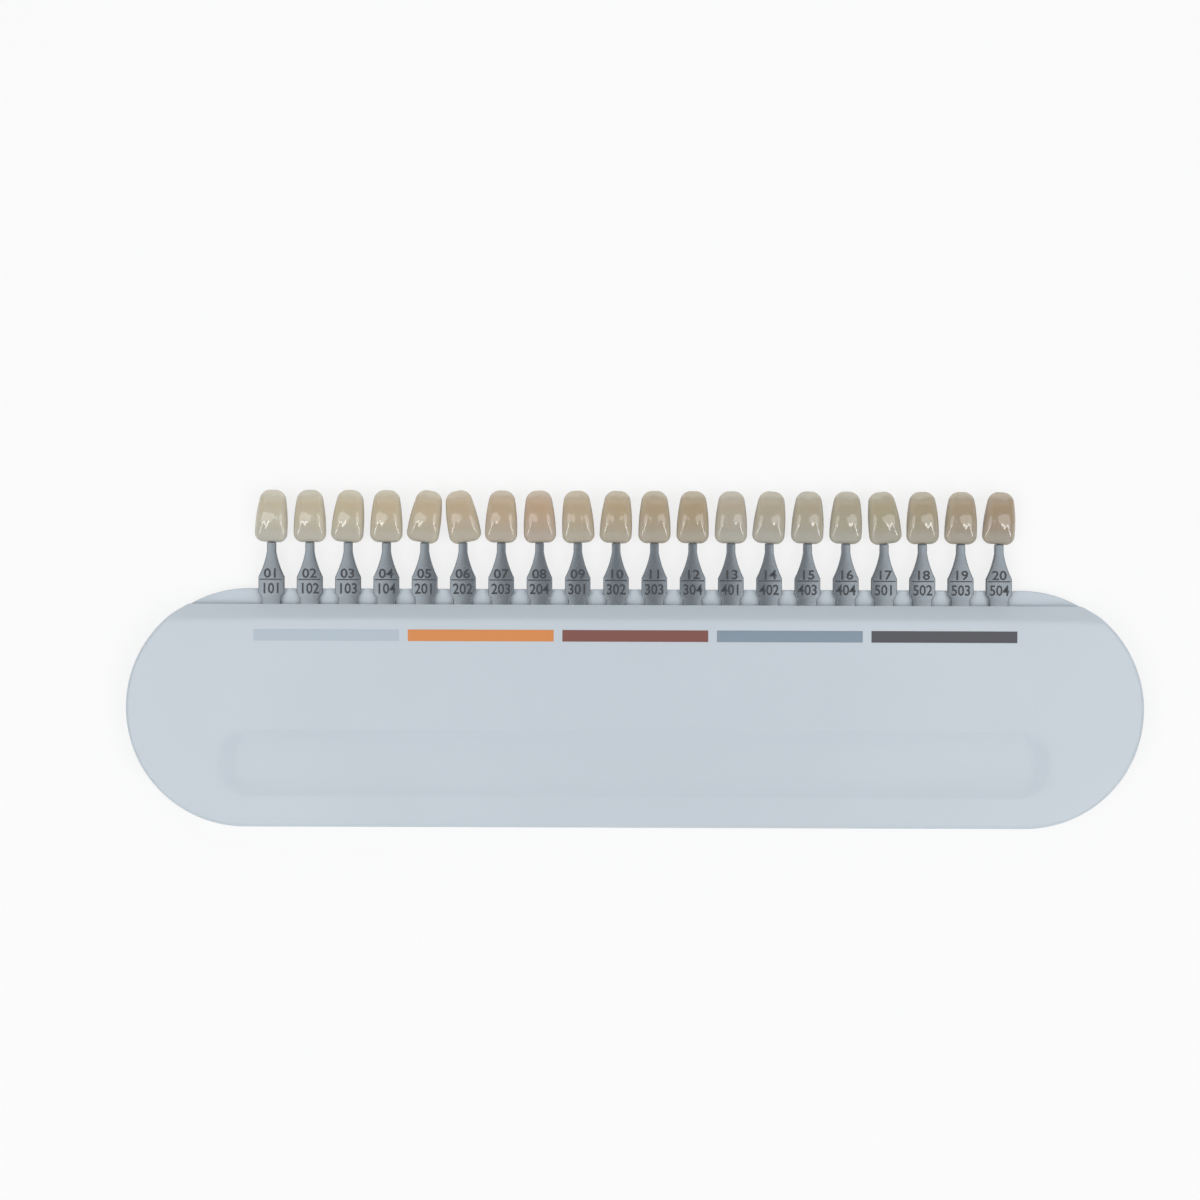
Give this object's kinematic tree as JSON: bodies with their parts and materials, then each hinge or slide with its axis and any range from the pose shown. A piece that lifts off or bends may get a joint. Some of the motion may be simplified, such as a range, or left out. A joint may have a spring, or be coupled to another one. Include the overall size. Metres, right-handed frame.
{
  "type": "dental shade guide",
  "caption": "Flat round-ended holder with a row of pull-out shade tabs: a tooth-shaped sample on a flat stick, held up beside a patient's tooth to match its colour.",
  "frame": {"origin": "centre of the holder's outline on its flat back, on which the guide lies", "axes": "+X along the row of tabs, from the lightest group to the last; +Y from the holder towards the tips of the teeth, the way the tabs pull out; +Z out of the front face"},
  "size_m": [0.3168, 0.1052, 0.011],
  "materials": {
    "holder_plastic": "moulded, satin-gloss, light blue-grey",
    "stick_plastic": "moulded, satin, mid grey",
    "bar_colour_1": "printed flat colour",
    "bar_colour_2": "printed flat colour",
    "bar_colour_3": "printed flat colour",
    "bar_colour_4": "printed flat colour",
    "bar_colour_5": "printed flat colour",
    "tooth_shade_01": "polished tooth-coloured resin",
    "tooth_shade_02": "polished tooth-coloured resin",
    "tooth_shade_03": "polished tooth-coloured resin",
    "tooth_shade_04": "polished tooth-coloured resin",
    "tooth_shade_05": "polished tooth-coloured resin",
    "tooth_shade_06": "polished tooth-coloured resin",
    "tooth_shade_07": "polished tooth-coloured resin",
    "tooth_shade_08": "polished tooth-coloured resin",
    "tooth_shade_09": "polished tooth-coloured resin",
    "tooth_shade_10": "polished tooth-coloured resin",
    "tooth_shade_11": "polished tooth-coloured resin",
    "tooth_shade_12": "polished tooth-coloured resin",
    "tooth_shade_13": "polished tooth-coloured resin",
    "tooth_shade_14": "polished tooth-coloured resin",
    "tooth_shade_15": "polished tooth-coloured resin",
    "tooth_shade_16": "polished tooth-coloured resin",
    "tooth_shade_17": "polished tooth-coloured resin",
    "tooth_shade_18": "polished tooth-coloured resin",
    "tooth_shade_19": "polished tooth-coloured resin",
    "tooth_shade_20": "polished tooth-coloured resin"
  },
  "bodies": {
    "holder": {"back_cover": "holder_plastic", "front_cover": "holder_plastic", "code_bar_1": "bar_colour_1", "code_bar_2": "bar_colour_2", "code_bar_3": "bar_colour_3", "code_bar_4": "bar_colour_4", "code_bar_5": "bar_colour_5"},
    "tab_01": {"stick_01": "stick_plastic", "tooth_01": "tooth_shade_01"},
    "tab_02": {"stick_02": "stick_plastic", "tooth_02": "tooth_shade_02"},
    "tab_03": {"stick_03": "stick_plastic", "tooth_03": "tooth_shade_03"},
    "tab_04": {"stick_04": "stick_plastic", "tooth_04": "tooth_shade_04"},
    "tab_05": {"stick_05": "stick_plastic", "tooth_05": "tooth_shade_05"},
    "tab_06": {"stick_06": "stick_plastic", "tooth_06": "tooth_shade_06"},
    "tab_07": {"stick_07": "stick_plastic", "tooth_07": "tooth_shade_07"},
    "tab_08": {"stick_08": "stick_plastic", "tooth_08": "tooth_shade_08"},
    "tab_09": {"stick_09": "stick_plastic", "tooth_09": "tooth_shade_09"},
    "tab_10": {"stick_10": "stick_plastic", "tooth_10": "tooth_shade_10"},
    "tab_11": {"stick_11": "stick_plastic", "tooth_11": "tooth_shade_11"},
    "tab_12": {"stick_12": "stick_plastic", "tooth_12": "tooth_shade_12"},
    "tab_13": {"stick_13": "stick_plastic", "tooth_13": "tooth_shade_13"},
    "tab_14": {"stick_14": "stick_plastic", "tooth_14": "tooth_shade_14"},
    "tab_15": {"stick_15": "stick_plastic", "tooth_15": "tooth_shade_15"},
    "tab_16": {"stick_16": "stick_plastic", "tooth_16": "tooth_shade_16"},
    "tab_17": {"stick_17": "stick_plastic", "tooth_17": "tooth_shade_17"},
    "tab_18": {"stick_18": "stick_plastic", "tooth_18": "tooth_shade_18"},
    "tab_19": {"stick_19": "stick_plastic", "tooth_19": "tooth_shade_19"},
    "tab_20": {"stick_20": "stick_plastic", "tooth_20": "tooth_shade_20"}
  },
  "joints": [
    {"name": "tab_01_pull", "type": "slide", "parent": "holder", "child": "tab_01", "axis": [0, 1, 0], "range_m": [0, 0.018]},
    {"name": "tab_02_pull", "type": "slide", "parent": "holder", "child": "tab_02", "axis": [0, 1, 0], "range_m": [0, 0.018]},
    {"name": "tab_03_pull", "type": "slide", "parent": "holder", "child": "tab_03", "axis": [0, 1, 0], "range_m": [0, 0.018]},
    {"name": "tab_04_pull", "type": "slide", "parent": "holder", "child": "tab_04", "axis": [0, 1, 0], "range_m": [0, 0.018]},
    {"name": "tab_05_pull", "type": "slide", "parent": "holder", "child": "tab_05", "axis": [0, 1, 0], "range_m": [0, 0.018]},
    {"name": "tab_06_pull", "type": "slide", "parent": "holder", "child": "tab_06", "axis": [0, 1, 0], "range_m": [0, 0.018]},
    {"name": "tab_07_pull", "type": "slide", "parent": "holder", "child": "tab_07", "axis": [0, 1, 0], "range_m": [0, 0.018]},
    {"name": "tab_08_pull", "type": "slide", "parent": "holder", "child": "tab_08", "axis": [0, 1, 0], "range_m": [0, 0.018]},
    {"name": "tab_09_pull", "type": "slide", "parent": "holder", "child": "tab_09", "axis": [0, 1, 0], "range_m": [0, 0.018]},
    {"name": "tab_10_pull", "type": "slide", "parent": "holder", "child": "tab_10", "axis": [0, 1, 0], "range_m": [0, 0.018]},
    {"name": "tab_11_pull", "type": "slide", "parent": "holder", "child": "tab_11", "axis": [0, 1, 0], "range_m": [0, 0.018]},
    {"name": "tab_12_pull", "type": "slide", "parent": "holder", "child": "tab_12", "axis": [0, 1, 0], "range_m": [0, 0.018]},
    {"name": "tab_13_pull", "type": "slide", "parent": "holder", "child": "tab_13", "axis": [0, 1, 0], "range_m": [0, 0.018]},
    {"name": "tab_14_pull", "type": "slide", "parent": "holder", "child": "tab_14", "axis": [0, 1, 0], "range_m": [0, 0.018]},
    {"name": "tab_15_pull", "type": "slide", "parent": "holder", "child": "tab_15", "axis": [0, 1, 0], "range_m": [0, 0.018]},
    {"name": "tab_16_pull", "type": "slide", "parent": "holder", "child": "tab_16", "axis": [0, 1, 0], "range_m": [0, 0.018]},
    {"name": "tab_17_pull", "type": "slide", "parent": "holder", "child": "tab_17", "axis": [0, 1, 0], "range_m": [0, 0.018]},
    {"name": "tab_18_pull", "type": "slide", "parent": "holder", "child": "tab_18", "axis": [0, 1, 0], "range_m": [0, 0.018]},
    {"name": "tab_19_pull", "type": "slide", "parent": "holder", "child": "tab_19", "axis": [0, 1, 0], "range_m": [0, 0.018]},
    {"name": "tab_20_pull", "type": "slide", "parent": "holder", "child": "tab_20", "axis": [0, 1, 0], "range_m": [0, 0.018]}
  ]
}
